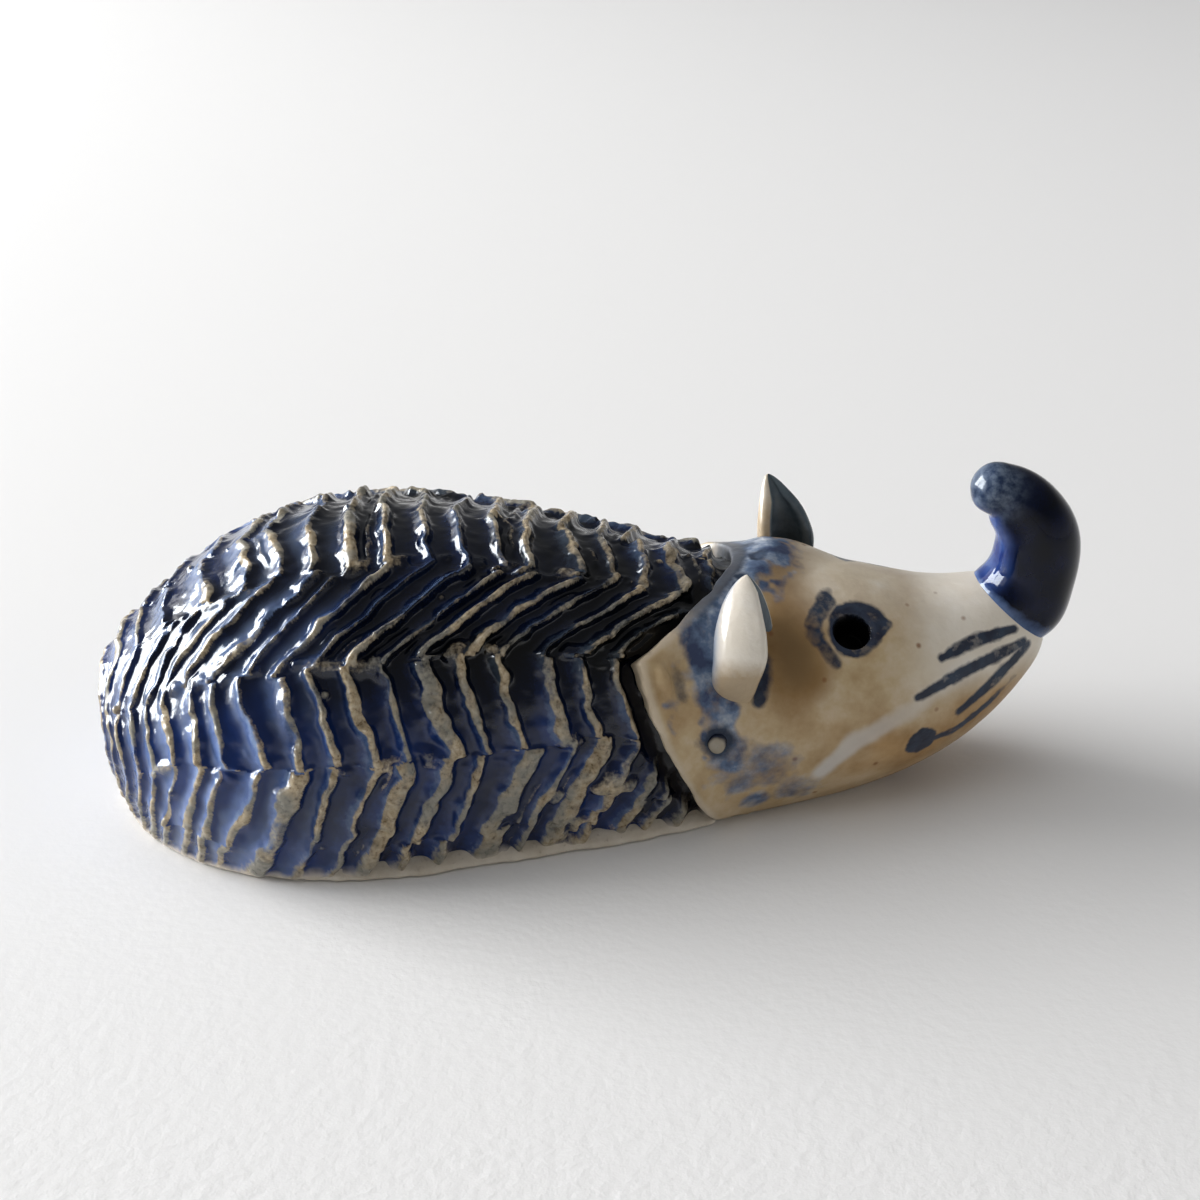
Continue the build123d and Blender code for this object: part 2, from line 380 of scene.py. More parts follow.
crest_degrees = np.degrees(np.abs(from_crest))
zigzag = soften(np.interp(crest_degrees, fold_degrees, fold_shifts) * MM, 22, 0)
wander = 0.20 * rough_noise(coat_skin, 21, 5 * MM, 2) + 0.15 * rough_noise(coat_skin, 22, 1.4 * MM, 2)
step_along = np.linalg.norm(np.gradient(coat_skin, axis=0), axis=-1)
skin_run = np.cumsum(step_along, axis=0) - step_along
round_run = np.array([np.interp(round_end, coat_x[:, c], skin_run[:, c]) for c in range(coat_columns)])
round_run = round_run.mean() + (round_run - round_run.mean()) * ramp(skin_run, 0.5 * MM, 5 * MM)
row_run = np.where(coat_x < round_end, round_end - round_run + skin_run, coat_x)
at_pole = 1 - ramp(skin_run, 0.1 * MM, 1.5 * MM)[..., None]
coat_out = coat_out + (np.array([-1.0, 0, 0]) - coat_out) * at_pole
coat_out /= np.linalg.norm(coat_out, axis=-1, keepdims=True)
row_phase = (row_run - zigzag * np.minimum(coat_x / zigzag_fade, 1)) / pitch + row_start + wander
step_around = np.linalg.norm(np.gradient(coat_skin, axis=1), axis=-1)
phase_slope = np.hypot(np.gradient(row_phase, axis=0) / np.maximum(step_along, 1e-7),
                       np.gradient(row_phase, axis=1) / np.maximum(step_around, 1e-7))
phase_slope = np.clip(phase_slope, 0.6 / pitch, 2.0 / pitch)
phase_slope = 1 / pitch + (phase_slope - 1 / pitch) * off_tail
jitter = 2.5 * rough_noise(coat_skin, 23, 3 * MM, 2)
band = np.searchsorted(fold_degrees[1:4], crest_degrees + jitter)
band = band + np.where(from_crest > 0, 4, 0)
stroke_rows, first_stroke = 40, 6
strokes = np.random.default_rng(5).uniform(-1, 1, (stroke_rows, 8, 4))
strokes[:, :, 0] *= 0.16
along_stroke = ((crest_degrees[None] + jitter) % 26) / 13 - 1
broad_ridges = ((13, 2), (9, 3), (12, 3), (15, 3), (17, 3), (10, 6), (14, 7))
for row, column in broad_ridges:
    strokes[row + first_stroke, column, 1] = 3.2
grain = rough_noise(coat_skin, 31, 0.9 * MM, 3)
beads = rough_noise(coat_skin, 32, 0.55 * MM, 2)
body_noise = rough_noise(coat_skin, 41, 2.6 * MM, 2)
height_noise = rough_noise(coat_skin, 42, 3.2 * MM, 2)
notch = ramp(rough_noise(coat_skin, 43, 1.9 * MM, 2), 0.26, 0.50)
tail_share = 1 - ramp(coat_x, 9 * MM, 21 * MM)


def gouge_stroke(row):
    """The slips of the hand on the stroke that left the ridge with this number."""
    return strokes[np.clip(row + first_stroke, 0, stroke_rows - 1), band]


def ridge_spot(row):
    """Where on the count of rows the ridge with this number stands, after the slip of the hand."""
    stroke = gouge_stroke(row) * off_tail[..., None]
    return row + stroke[..., 0] + 0.17 * stroke[..., 3] * along_stroke


def ridge_top(row):
    """Half the width left standing on a ridge, as a share of the pitch, and how far its top is worn down."""
    stroke = gouge_stroke(row) * off_tail[..., None]
    half = 1.1 + 0.7 * stroke[..., 1] + 1.5 * body_noise + 0.5 * grain + 0.7 * beads
    half = ridge_half * np.clip(half, 0.05, 3.6)
    worn = np.clip(0.12 + 0.18 * stroke[..., 2] + 0.35 * height_noise + 0.7 * notch, 0, 0.85)
    return np.clip(half * phase_slope, 0.01, 0.3), worn


row_behind = np.floor(row_phase).astype(int)
row_behind = row_behind - (row_phase < ridge_spot(row_behind)) + (row_phase >= ridge_spot(row_behind + 1))
spot_behind, spot_ahead = ridge_spot(row_behind), ridge_spot(row_behind + 1)
across = np.clip((row_phase - spot_behind) / (spot_ahead - spot_behind), 0, 1)
top_behind, worn_behind = ridge_top(row_behind)
top_ahead, worn_ahead = ridge_top(row_behind + 1)
flank = np.clip((across - top_behind) / (1 - top_behind - top_ahead), 0, 1)
lean_share, bowl_share = 0.78 - 0.12 * tail_share, 3.2 - 0.8 * tail_share
worn = worn_behind + (worn_ahead - worn_behind) * ramp(across, 0.1, 0.6)
ridge = np.abs(2 * flank**lean_share - 1) ** bowl_share * (1 - worn)
crest_gap = np.minimum((1 - flank), 1.7 * flank) / phase_slope
crest = 1 - ramp(crest_gap + 0.17 * MM * grain, 0.04 * MM, 0.30 * MM)
side_stroke = gouge_stroke(row_behind)
side_cut = (1 - ramp(np.abs(flank - 0.55), 0.03, 0.13)) * ramp(body_noise, -0.1, 0.4)
side_cut = side_cut * (side_stroke[..., 0] > 0.05)
ridge = np.maximum(ridge, 0.5 * side_cut)
crest = np.maximum(crest, 0.45 * side_cut)
fold_gap = np.min(np.abs((crest_degrees + jitter)[..., None] - np.array(fold_degrees[1:4])), axis=-1)
crumble = (1 - ramp(fold_gap, 0.8, 4.5)) * ramp(rough_noise(coat_skin, 24, 1.3 * MM, 2), -0.05, 0.45)
crumble_late = (1 - ramp(np.abs(coat_x - 35.5 * MM), 1.5 * MM, 5 * MM)) * ramp(crest_degrees, 84, 92)
crumble_late = crumble_late * ramp(rough_noise(coat_skin, 26, 1.3 * MM, 2), 0.0, 0.4)
crumble = np.maximum(crumble * off_tail, 1.2 * crumble_late)
ridge = np.maximum(ridge, 0.72 * crumble)
crest = np.maximum(crest, 0.6 * crumble)
lap_ahead = lap_place(coat_skin)
lap_low = 1 - ramp(coat_skin[..., 2], 12.5 * MM, 14.5 * MM)
lap_groove = ramp(lap_ahead, (-0.9 - 0.7 * lap_low) * MM, (-0.3 - 0.2 * lap_low) * MM)
lap_groove *= 1 - 0.85 * ramp(coat_skin[..., 2], nape_low, nape_high)
ridge *= 1 - 0.9 * lap_groove
drag_place = np.stack([row_phase * 9, np.broadcast_to(from_crest * 2, row_phase.shape), 0 * row_phase], -1)
drag = rough_noise(drag_place, 25, 1.0, 2)
depth_share = 1 + 0.2 * rough_noise(coat_skin, 51, 5 * MM, 2) - 0.52 * tail_share
coat_cut = groove_depth * depth_share * (1 - ridge) + 0.5 * MM * lap_groove
coat_cut -= (0.12 * grain + 0.09 * beads) * MM * crest
coat_cut -= (0.006 * drag * off_tail + 0.040 * beads) * MM * (1 - crest)
coat_cut += 0.12 * MM * rough_noise(coat_skin, 52, 1.4 * MM, 2) * (1 - 0.6 * crest)
slab_band = 0.36 * MM + 0.06 * MM * ramp(coat_x, 12 * MM, 26 * MM)
foot = 1 - ramp(coat_skin[..., 2] + 0.35 * MM * grain, 0.6 * slab_band, 1.3 * slab_band + 0.25 * MM)
coat_cut *= ramp(skin_run, 0.3 * MM, 2.0 * MM) * (1 - 0.85 * foot)
coat_cut = soften(soften(coat_cut, 3, 0), 1, 1)

crumbs = np.random.default_rng(7)
crumb_lift = np.zeros((coat_rows, coat_columns))
for _ in range(28):
    row, column = crumbs.integers(30, coat_rows - 40), crumbs.integers(50, coat_columns - 50)
    size = crumbs.uniform(0.14, 0.36) * MM
    gap = np.linalg.norm(coat_skin - coat_skin[row, column], axis=-1) * (1 + 0.4 * beads)
    crumb_lift = np.maximum(crumb_lift, np.sqrt(np.clip(size**2 - gap**2, 0, None)))
coat_points = coat_skin + coat_out * (0.8 * crumb_lift - coat_cut)[..., None]
coat_points[..., 2] = np.maximum(coat_points[..., 2], 0.12 * MM)
coat_points[0] = coat_points[0].mean(axis=0)

low_share = 0.6 + (ramp(crest_degrees, 48, 75) - 0.6) * off_tail
# The higher tone at the tail is partly a paler glaze, partly painted light standing in for the window's
# reflection there.
glaze_tone = 0.28 + 0.30 * rough_noise(coat_skin, 71, 6 * MM, 3) + 0.42 * low_share + 0.34 * tail_share
glaze_tone = glaze_tone - 0.25 * ramp(lap_ahead, -7 * MM, -1 * MM)
second_band = ramp(crest_degrees, 22, 28) * (1 - ramp(crest_degrees, 47, 53)) * off_tail
crest = crest * (0.66 + 0.8 * body_noise + 0.3 * low_share - 0.16 * second_band)
crest = np.maximum(crest, crumb_lift / (0.5 * MM))
crest = np.maximum(crest, ridge * (1 - ramp(coat_skin[..., 2] + 0.6 * MM * body_noise, 1.2 * MM, 3.2 * MM)))
# Pale blue on the tail flanks that face the window: partly thinner glaze, partly a painted highlight for the
# window's reflection.
tail_pale_sheen = tail_share * ramp(flank + 0.25 * body_noise, 0.2, 0.7)
coat = grid_mesh("carved_coat", coat_points, {
    "crest": np.clip(crest, 0, 1), "flank": flank, "glaze_tone": np.clip(glaze_tone, 0, 1),
    "foot": foot, "lap_groove": lap_groove, "tail_pale_sheen": tail_pale_sheen}, flip=True)

cobalt = Shader("carved_cobalt_coat")
grit = cobalt.noise(2600, 4)
blotch = cobalt.noise(300, 3)
fine = cobalt.math(grit, 0.5, "SUBTRACT")
tone = cobalt.attribute("glaze_tone")
flank_mottle = cobalt.centred(blotch, 0.7)
flank_mottle = cobalt.math(flank_mottle, cobalt.times(fine, 0.35))
flank_share = cobalt.math(cobalt.attribute("flank"), flank_mottle)
# Groove colours go from near-black beside the steep side of each ridge to pale blue-grey on the gentle side
# that faces the window: partly glaze pooling and thinning, partly painted shade and painted light.
pooled_and_shaded = cobalt.curve(
    tone, (0.15, (0.001, 0.0015, 0.002)), (0.5, (0.002, 0.005, 0.018)), (0.9, (0.007, 0.024, 0.11)))
run_off = cobalt.curve(
    tone, (0.15, (0.004, 0.006, 0.012)), (0.5, (0.009, 0.022, 0.085)), (0.9, (0.024, 0.066, 0.26)))
thin_and_lit = cobalt.curve(
    tone, (0.15, (0.030, 0.040, 0.052)), (0.5, (0.050, 0.085, 0.17)), (0.9, (0.13, 0.20, 0.36)))
coat_colour = cobalt.mix(cobalt.curve(flank_share, (0.50, 0.0), (0.92, 1.0)), pooled_and_shaded, run_off)
coat_colour = cobalt.mix(cobalt.curve(flank_share, (0.80, 0.0), (1.0, 1.0)), coat_colour, thin_and_lit)
coat_colour = cobalt.mix(cobalt.times(cobalt.attribute("tail_pale_sheen"), 0.32), coat_colour, (0.24, 0.33, 0.52))
bare = cobalt.curve(grit, (0.3, (0.13, 0.09, 0.05)), (0.5, (0.34, 0.27, 0.17)), (0.75, (0.50, 0.43, 0.31)))
bare = cobalt.mix(cobalt.curve(blotch, (0.42, 0.65), (0.58, 0.0)), bare, (0.15, 0.17, 0.17))
top = cobalt.math(cobalt.attribute("crest"), cobalt.times(fine, 0.85))
coat_colour = cobalt.mix(cobalt.curve(top, (0.30, 0.0), (0.75, 1.0)), coat_colour, bare)
# Near-black where the head's lip overhangs the coat: partly glaze pooling, partly painted shade in the
# recess.
coat_colour = cobalt.mix(cobalt.attribute("lap_groove"), coat_colour, (0.002, 0.003, 0.007))
coat_colour = cobalt.mix(cobalt.attribute("foot"), coat_colour, (0.56, 0.50, 0.42))
coat_rough = cobalt.curve(top, (0.45, 0.07), (0.95, 0.30))
coat.data.materials.append(cobalt.set(
    Base_Color=coat_colour, Roughness=coat_rough, IOR=1.45, Normal=cobalt.bump(grit, 0.32, 0.07 * MM)))
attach(coat, "root")
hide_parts("body_shell")

# Head: a second pinched cup of clay, luted over the front of the coat with a raised lip.
# Salt glaze leaves it cream and ochre with rust specks; whiskers and eye rings are brushed on in cobalt. Some
# light and shade is painted in: a paler snout and upper faces, a darker tone behind the eyes, and near-black
# eye holes.
head_axis = np.array([
    (30.0, 6.2, 0.0), (40.0, 6.3, 0.0), (47.0, 7.0, 1.5), (50.5, 7.6, 4.0), (54.5, 8.2, 10.0),
    (58.5, 8.8, 20.0), (61.8, 9.74, 32.0), (64.3, 11.22, 43.0), (65.78, 12.58, 50.0)])
head_rings, head_rows, head_columns = 190, 300, 500
lip_lift, lip_reach = 0.32 * MM, 1.8 * MM
lip_curl = ((0.30, 1.5), (0.22, 0.9), (0.20, 0.5), (0.16, 0.22), (0.08, 0.06))
eye_radius, eye_depth = 1.35 * MM, 3.4 * MM


def tail_mm(*points):
    """Points written in millimetres from the tail end, as points of the frame."""
    return np.array(points) * MM + [tail_x, 0, 0]


eyes = (
    (tail_mm((53.2, -5.74, 13.8))[0], np.array([-0.12, -0.67, 0.73])),
    (tail_mm((55.6, 5.17, 13.6))[0], np.array([-0.21, 0.67, 0.71])))
ring_place = np.linspace(0, 1, head_rings)
axis_run = np.linspace(0, 1, len(head_axis))
head_line = np.stack([np.interp(ring_place, axis_run, head_axis[:, k]) for k in range(3)], -1)
head_line = soften(head_line, 60, 0)
ring_middles = tail_mm(*[(along, 0, high) for along, high, _ in head_line])
ring_tilts = np.radians(head_line[:, 2])
ring_ups = np.stack([-np.sin(ring_tilts), 0 * ring_tilts, np.cos(ring_tilts)], -1)
head_turns = np.linspace(-np.pi, np.pi, head_columns, endpoint=False)
head_ways, head_reach = skin_rings(ring_middles, ring_ups, head_turns)
for place, way in eyes:
    hits = ring_middles[:, None] + head_ways * head_reach[..., None] - place
    off_axis = np.linalg.norm(hits - (hits @ way)[..., None] * way, axis=-1)
    head_reach[(off_axis < 1.9 * MM) & ((head_ways @ way) > 0.3)] = np.nan
head_reach = fill_gaps(head_reach)
wrap = 30
head_reach = np.concatenate([head_reach[:, -wrap:], head_reach, head_reach[:, :wrap]], axis=1)
head_reach = soften(soften(head_reach, 14, 1), 4, 0)[:, wrap:-wrap]
ring_skin = ring_middles[:, None] + head_ways * head_reach[..., None]
lap_wave = 0.36 * MM * rough_noise(ring_skin, 81, 2.0 * MM, 2)
ring_lap = lap_place(ring_skin) + lap_wave
lap_start = np.array([np.interp(0, ring_lap[:, c], ring_place) for c in range(head_columns)])
place_grid = np.broadcast_to(ring_place[:, None], ring_lap.shape)
head_skin = regrid(ring_skin, place_grid, (lap_start, 1 + 0 * lap_start), head_rows)
head_out = grid_normals(head_skin, closed=True)
head_ways = head_skin - regrid(np.broadcast_to(ring_middles[:, None], ring_skin.shape), place_grid,
                               (lap_start, 1 + 0 * lap_start), head_rows)
head_out *= np.sign((head_out * head_ways).sum(-1, keepdims=True))

lap_ahead = np.maximum(lap_place(head_skin), 0)
lap_square = 0.55 + 0.37 * (1 - ramp(head_skin[..., 2], 12.6 * MM, 14.6 * MM))
lip = 1 - ramp(lap_ahead * lap_square, 0.3 * MM, lip_reach)
off_ground = ramp(head_skin[..., 2], 0.1 * MM, 1.2 * MM)
on_nape = ramp(head_skin[..., 2], nape_low, nape_high)
lip_wave = 1 + 0.8 * rough_noise(head_skin, 87, 1.9 * MM, 2)
head_lift = lip_lift * lip * off_ground * (1 - 0.8 * on_nape) * lip_wave
head_lift += 0.10 * MM * rough_noise(head_skin, 82, 5 * MM, 2) * off_ground
head_lift += 0.012 * MM * rough_noise(head_skin, 83, 0.9 * MM, 2) * off_ground


def stroke_gap(points, line):
    """Distance from points to a line of straight runs, and how far along it the nearest spot is, 0 to 1."""
    best = np.full(points.shape[:-1], np.inf)
    share = np.zeros(points.shape[:-1])
    runs = np.linalg.norm(np.diff(line, axis=0), axis=-1)
    total = runs.sum()
    done = 0
    for start, stop, run in zip(line[:-1], line[1:], runs):
        part = np.clip((points - start) @ (stop - start) / run**2, 0, 1)
        gap = np.linalg.norm(points - start - part[..., None] * (stop - start), axis=-1)
        nearer = gap < best
        best[nearer] = gap[nearer]
        share[nearer] = (done + part[nearer] * run) / total
        done += run
    return best, share


saddle_gap, _ = stroke_gap(head_skin, tail_mm((45.0, 0.0, 17.0), (47.0, 2.5, 17.0), (49.5, 5.0, 16.0)))
head_lift += 0.95 * MM * (1 - ramp(saddle_gap, 0.2 * MM, 5.5 * MM)) * ramp(lap_ahead, 0.2 * MM, 3.5 * MM)
lump_middle, lump_way = tail_mm((39.9, -9.6, 12.5))[0], np.array([0.35, -0.35, -0.87])
from_lump = head_skin - lump_middle
along_lump = from_lump @ lump_way
across_lump = np.linalg.norm(from_lump - along_lump[..., None] * lump_way, axis=-1)
lump = 1 - ramp(np.hypot(along_lump / (1.25 * MM), across_lump / (0.6 * MM)), 0.35, 1.15)
head_lift += 0.55 * MM * lump
groove_gap, _ = stroke_gap(head_skin, tail_mm((40.8, -9.3, 13.2), (41.2, -9.9, 11.3)))
head_lift -= 0.25 * MM * (1 - ramp(groove_gap, 0.2 * MM, 0.9 * MM)) * (1 - lump)

eye_painted_shade, eye_shift = np.zeros(head_skin.shape[:2]), np.zeros(head_skin.shape)
for place, way in eyes:
    from_eye = head_skin - place
    flat = from_eye - (from_eye @ way)[..., None] * way
    off_axis = np.linalg.norm(flat, axis=-1)
    off_axis[(head_out @ way) < 0.3] = 1
    edge = np.abs(off_axis - eye_radius) < 0.075 * MM
    to_edge = np.where(edge, eye_radius - off_axis, 0) / np.maximum(off_axis, 1e-9)
    eye_shift += to_edge[..., None] * flat
    depth = eye_depth * ramp(eye_radius - off_axis, 0.02 * MM, 0.40 * MM)
    eye_shift -= np.where(off_axis < eye_radius, depth, 0)[..., None] * way
    rounded = 0.16 * MM * (1 - ramp(off_axis, eye_radius, eye_radius + 0.45 * MM))
    eye_shift -= rounded[..., None] * way
    # Painted shade: the eye holes are marked for near-black, standing in for the dark hollow behind them.
    eye_painted_shade = np.maximum(eye_painted_shade, ramp(eye_radius - off_axis, 0.0, 0.12 * MM))


whiskers = (
    (1.05, tail_mm((59.7, -5.8, 11.5), (62.0, -4.7, 12.1), (65.2, -3.6, 12.5))),
    (0.95, tail_mm((57.8, -7.5, 9.3), (61.2, -5.9, 10.3), (66.0, -3.6, 11.4))),
    (1.0, tail_mm((61.2, -6.3, 7.4), (63.3, -5.3, 8.8), (66.3, -3.4, 11.1))),
    (0.72, tail_mm((58.6, -6.9, 5.3), (61.0, -5.9, 5.5), (63.5, -4.8, 7.2), (65.3, -3.6, 8.9))),
)
mouth_corner = (1.5, (58.5, -7.0, 5.4))
eye_reaches = (
    (-180, 0.35), (-120, 0.55), (-90, 0.65), (-45, 0.50), (-15, 0.95), (8, 1.65), (34, 1.20),
    (80, 0.70), (120, 0.60), (150, 0.45), (180, 0.35))
eye_patch = ((-1.5, 2.2), (-2.3, 1.2), (-2.7, 0.3), (-2.4, -0.5), (-1.8, -1.4), (-1.2, -2.2))
eye_patch_half = (0.55, 0.18)
paint_noise = rough_noise(head_skin, 84, 0.8 * MM, 3)
paint = np.zeros(head_skin.shape[:2])
for side, (eye_middle, eye_out) in zip((-1, 1), eyes):
    mirror = np.array([1, -side, 1])
    for width, line in whiskers:
        gap, share = stroke_gap(head_skin, line * mirror)
        half = 0.5 * MM * width * (0.30 + 0.80 * np.sin(np.pi * np.clip(0.08 + 0.8 * share, 0, 1)))
        dab = 1 - ramp(gap + 0.20 * MM * paint_noise, half * 0.5, half * 0.5 + 0.42 * MM)
        paint = np.maximum(paint, dab * (0.95 + 0.40 * paint_noise))
    size, spot = mouth_corner
    gap = np.linalg.norm(head_skin - tail_mm(spot)[0] * mirror, axis=-1) + 0.25 * MM * paint_noise
    paint = np.maximum(paint, 1 - ramp(gap, 0.7 * size * MM, (0.7 * size + 0.4) * MM))
    from_eye = head_skin - eye_middle
    seen = np.stack([from_eye[..., 0], from_eye @ np.array([0, -0.454 * side, 0.891])], -1)
    bearing = np.degrees(np.arctan2(seen[..., 1], seen[..., 0]))
    reach = np.interp(bearing, *zip(*eye_reaches)) * MM
    beyond = np.linalg.norm(seen, axis=-1) - eye_radius - reach + 0.28 * MM * paint_noise
    ring = (1 - ramp(beyond, -0.25 * MM, 0.22 * MM)) * (0.95 + 0.40 * paint_noise)
    gap, share = stroke_gap(seen, np.array(eye_patch) * MM)
    half = (eye_patch_half[0] + (eye_patch_half[1] - eye_patch_half[0]) * share) * MM
    patch = (1 - ramp(gap + 0.35 * MM * paint_noise, half, half + 0.42 * MM)) * (0.76 + 0.35 * paint_noise)
    paint = np.maximum(paint, np.where(head_out @ eye_out > 0.2, np.maximum(ring, patch), 0))

wash_noise = rough_noise(head_skin, 85, 1.5 * MM, 3)
from_lap = lap_ahead * lap_square
wash = 1.1 * ramp(from_lap, 0.3 * MM, 0.9 * MM) * (1 - ramp(from_lap, 2.0 * MM, 4.0 * MM))
wash *= ramp(head_skin[..., 2], 3 * MM, 7 * MM) * ramp(wash_noise, -0.2, 0.4)
run_line = tail_mm(
    (44.5, -1.0, 17.0), (42.9, -5.2, 16.4), (42.9, -7.6, 14.3), (43.4, -9.3, 11.6), (44.0, -10.0, 9.5),
    (43.9, -10.3, 7.8), (44.8, -10.2, 5.6))
for side in (-1, 1):
    gap, share = stroke_gap(head_skin, run_line * [1, -side, 1] + [2 * (side + 1) * MM, 0, 0])
    half = (2.0 - 0.9 * share) * MM
    run = 1 - ramp(gap + 1.1 * MM * wash_noise, 0.5 * half, half + 0.7 * MM)
    wash = np.maximum(wash, run * (1.05 - 0.3 * share))
nape = 1 - ramp(from_lap + 0.9 * MM * wash_noise, 0.8 * MM, 2.6 * MM)
nape = ramp(head_skin[..., 2], 14 * MM, 16.5 * MM) * nape
wash = np.maximum(wash, nape)
wash_spots = (
    (1.6, 0.8, (46.6, -8.8, 2.2)), (3.0, 0.58, (47.2, -9.9, 5.2)), (2.4, 0.58, (49.4, -8.8, 2.6)),
    (2.2, 0.62, (45.4, -10.0, 4.0)), (0.8, 0.5, (45.8, -10.0, 6.1)), (1.5, 0.9, (43.5, 0.5, 17.0)),
    (2.0, 0.9, (46.5, 4.5, 16.5)), (2.2, 0.8, (48.0, 8.5, 9.5)))
pellet_middle = tail_mm((43.5, -10.3, 7.8))[0]
for size, strength, spot in wash_spots:
    gap = np.linalg.norm(head_skin - tail_mm(spot)[0], axis=-1) / (size * MM)
    wash = np.maximum(wash, strength * (1 - ramp(gap + 0.35 * wash_noise, 0.45, 1.1)))
from_pellet = np.linalg.norm(head_skin - pellet_middle - [0, 0, 0.25 * MM], axis=-1)
pellet_ring = 1 - ramp(from_pellet + 0.6 * MM * wash_noise, 0.7 * MM, 1.6 * MM)
paint = np.maximum(paint, 0.9 * pellet_ring)
nape_edge = 0.95 - 0.95 * ramp(lap_ahead, 0.4 * MM, 1.5 * MM)
paint = np.maximum(paint, nape * np.maximum(ramp(wash_noise, -0.25, 0.35), nape_edge))
in_groove = 1 - ramp(groove_gap + 0.3 * MM * wash_noise, 0.1 * MM, 0.7 * MM)
paint = np.maximum(paint, 0.6 * in_groove * (1 - lump))
gap, share = stroke_gap(head_skin, tail_mm((46.8, -7.9, 12.9), (46.4, -9.3, 10.2)))
paint = np.maximum(paint, 0.9 - 0.9 * ramp(gap + 0.5 * MM * wash_noise, 0.2 * MM, (1.3 - 0.5 * share) * MM))

streak_line = tail_mm(
    (51.1, -8.5, 4.1), (53.2, -8.7, 6.5), (56.4, -8.0, 7.9), (59.3, -6.8, 9.6), (61.5, -5.7, 10.4))
milk = np.zeros(head_skin.shape[:2])
for side in (-1, 1):
    gap, share = stroke_gap(head_skin, streak_line * [1, -side, 1])
    milk = np.maximum(milk, (1 - ramp(gap + 0.3 * MM * wash_noise, 0.35 * MM, 1.1 * MM)) * (1 - 0.7 * share))
ochre_noise = rough_noise(head_skin, 86, 4 * MM, 3)
# Darker tone behind the eyes: partly the clay's own colour, partly painted shade where the ears shade the
# head.
behind_eye = (head_skin - tail_mm((48.8, 0, 13.2))[0]) * [1, 0, 1] / [1, 1, 1.5]
behind_eye = np.linalg.norm(behind_eye, axis=-1)
brown_and_ear_shade = 0.95 * (1 - ramp(behind_eye + 1.0 * MM * ochre_noise, 0.4 * MM, 3.6 * MM))
ochre = 1.0 * (1 - ramp(behind_eye + 1.2 * MM * ochre_noise, 0.8 * MM, 3.4 * MM))
chin = ramp(head_skin[..., 0] - tail_x, 50 * MM, 57 * MM) * (1 - ramp(head_skin[..., 2], 5.5 * MM, 10.5 * MM))
ochre = np.maximum(ochre, chin * (0.60 + 0.35 * ochre_noise))
# Paler snout and upper faces: the snout partly paler clay and partly painted light; the upward-facing faces
# are painted light from above.
snout_pale_and_lit = ramp(head_skin[..., 0] - tail_x, 55 * MM, 61 * MM) * ramp(head_skin[..., 2], 8 * MM, 11 * MM)
painted_top_light = ramp(head_out[..., 2], 0.72, 0.95) * ramp(head_skin[..., 0] - tail_x, 47 * MM, 52 * MM)
snout_pale_and_lit = np.maximum(snout_pale_and_lit, 0.45 * painted_top_light)
ochre = np.clip(ochre + 0.36 + 0.38 * ochre_noise - 0.35 * snout_pale_and_lit, 0, 1)

head_points = head_skin + head_out * head_lift[..., None] + eye_shift
head_points[..., 2] = np.maximum(head_points[..., 2], 0)
curl_back = head_points[0] - head_points[1]
curl_back /= np.linalg.norm(curl_back, axis=-1, keepdims=True)
curl_rows = [head_points[0] + curl_back * back * MM - head_out[0] * deep * MM for back, deep in lip_curl]
for row in curl_rows:
    row[:, 2] = np.maximum(row[:, 2], 0)
head_points = np.concatenate([np.stack(curl_rows), head_points])
lip_edge = (1 - ramp(lap_ahead * lap_square, 0.15 * MM, 0.55 * MM)) * (1 - 0.8 * nape)


def with_curl(values):
    """Values on the head with rows added for its curled edge."""
    return np.concatenate([np.repeat(values[:1], len(lip_curl), axis=0), values])


head = grid_mesh("head_cup", head_points, {
    "paint": with_curl(np.clip(paint, 0, 1)), "wash": with_curl(np.clip(wash, 0, 1)),
    "ochre": with_curl(ochre), "snout_pale_and_lit": with_curl(snout_pale_and_lit), "brown_and_ear_shade": with_curl(brown_and_ear_shade),
    "milk": with_curl(np.clip(milk, 0, 1)), "eye_hole_shade": with_curl(eye_painted_shade),
    "lip_edge": with_curl(lip_edge)}, closed=True, flip=True)


def salt_glaze(name):
    """Cream salt-glazed clay with ochre clouds, rust specks and an orange-peel skin: shader, colour, peel."""
    shader = Shader(name)
    mottle = shader.noise(330, 5)
    peel = shader.noise(1500, 3, 0.5)
    cream = shader.curve(
        mottle, (0.3, (0.40, 0.29, 0.155)), (0.5, (0.51, 0.41, 0.255)), (0.72, (0.62, 0.56, 0.45)))
    place = shader.nodes.new("ShaderNodeTexCoord").outputs["Object"]
    cells = shader.node("ShaderNodeTexVoronoi", Vector=place, Scale=480.0)
    speck = shader.curve(cells.outputs["Distance"], (0.05, 1.0), (0.13, 0.0))
    cells_apart = shader.node("ShaderNodeSeparateColor", Color=cells.outputs["Color"])
    speck = shader.times(speck, shader.math(cells_apart.outputs["Red"], 0.35, "GREATER_THAN"))
    return shader, cream, peel, mottle, speck


glaze, cream, peel, mottle, speck = salt_glaze("salt_glazed_clay")
ochre_glaze = glaze.curve(mottle, (0.3, (0.26, 0.14, 0.045)), (0.7, (0.46, 0.30, 0.14)))
head_colour = glaze.mix(glaze.attribute("ochre"), cream, ochre_glaze)
# Painted light: the paler snout and upper faces.
head_colour = glaze.mix(glaze.times(glaze.attribute("snout_pale_and_lit"), 0.66), head_colour, (0.79, 0.76, 0.70))
